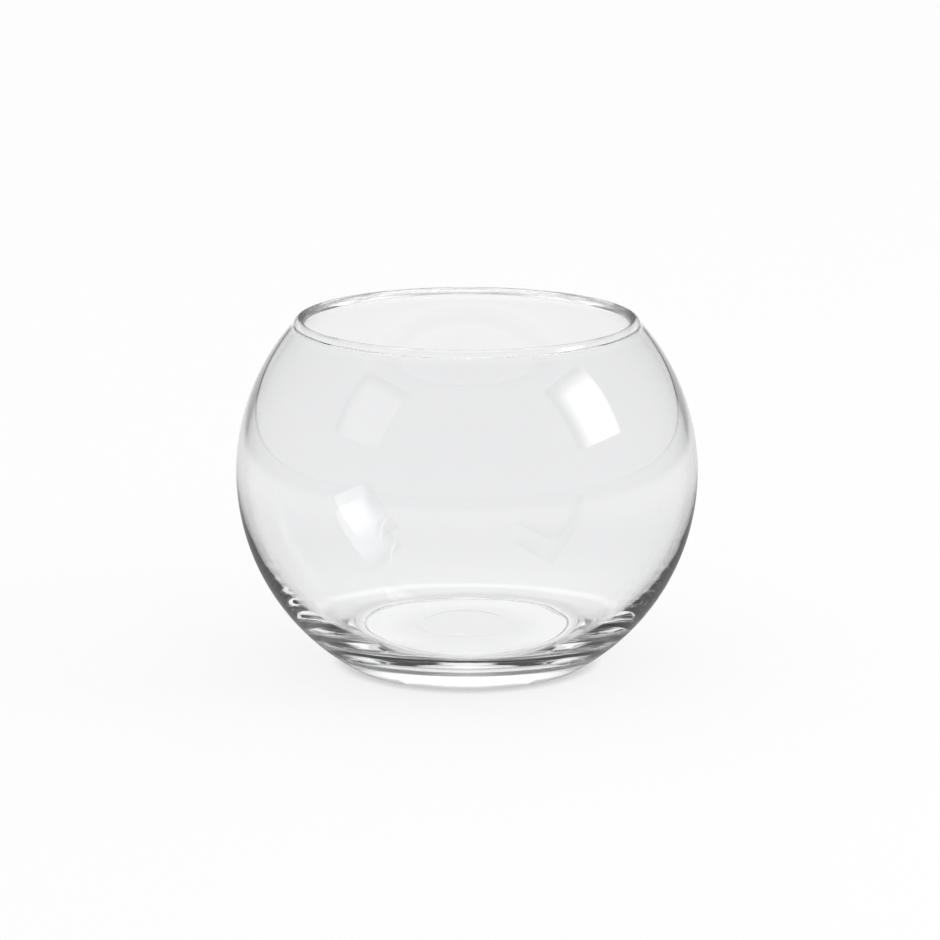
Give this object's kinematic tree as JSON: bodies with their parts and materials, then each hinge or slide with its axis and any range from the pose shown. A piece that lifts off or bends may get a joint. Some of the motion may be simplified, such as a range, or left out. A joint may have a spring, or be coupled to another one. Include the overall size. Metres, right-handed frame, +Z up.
{
  "type": "rose bowl vase",
  "caption": "Round clear glass bowl vase with a wide open mouth, a beaded rim and a thick flat base, made to hold cut flowers.",
  "frame": {"origin": "centre of the foot, on the surface that the bowl stands on", "axes": "+Z up along the bowl's axis of revolution, X and Y level and interchangeable"},
  "size_m": [0.152, 0.152, 0.1154],
  "materials": {
    "clear_glass": "clear, fire polished"
  },
  "bodies": {
    "root": {"glass_bowl": "clear_glass"}
  },
  "joints": []
}
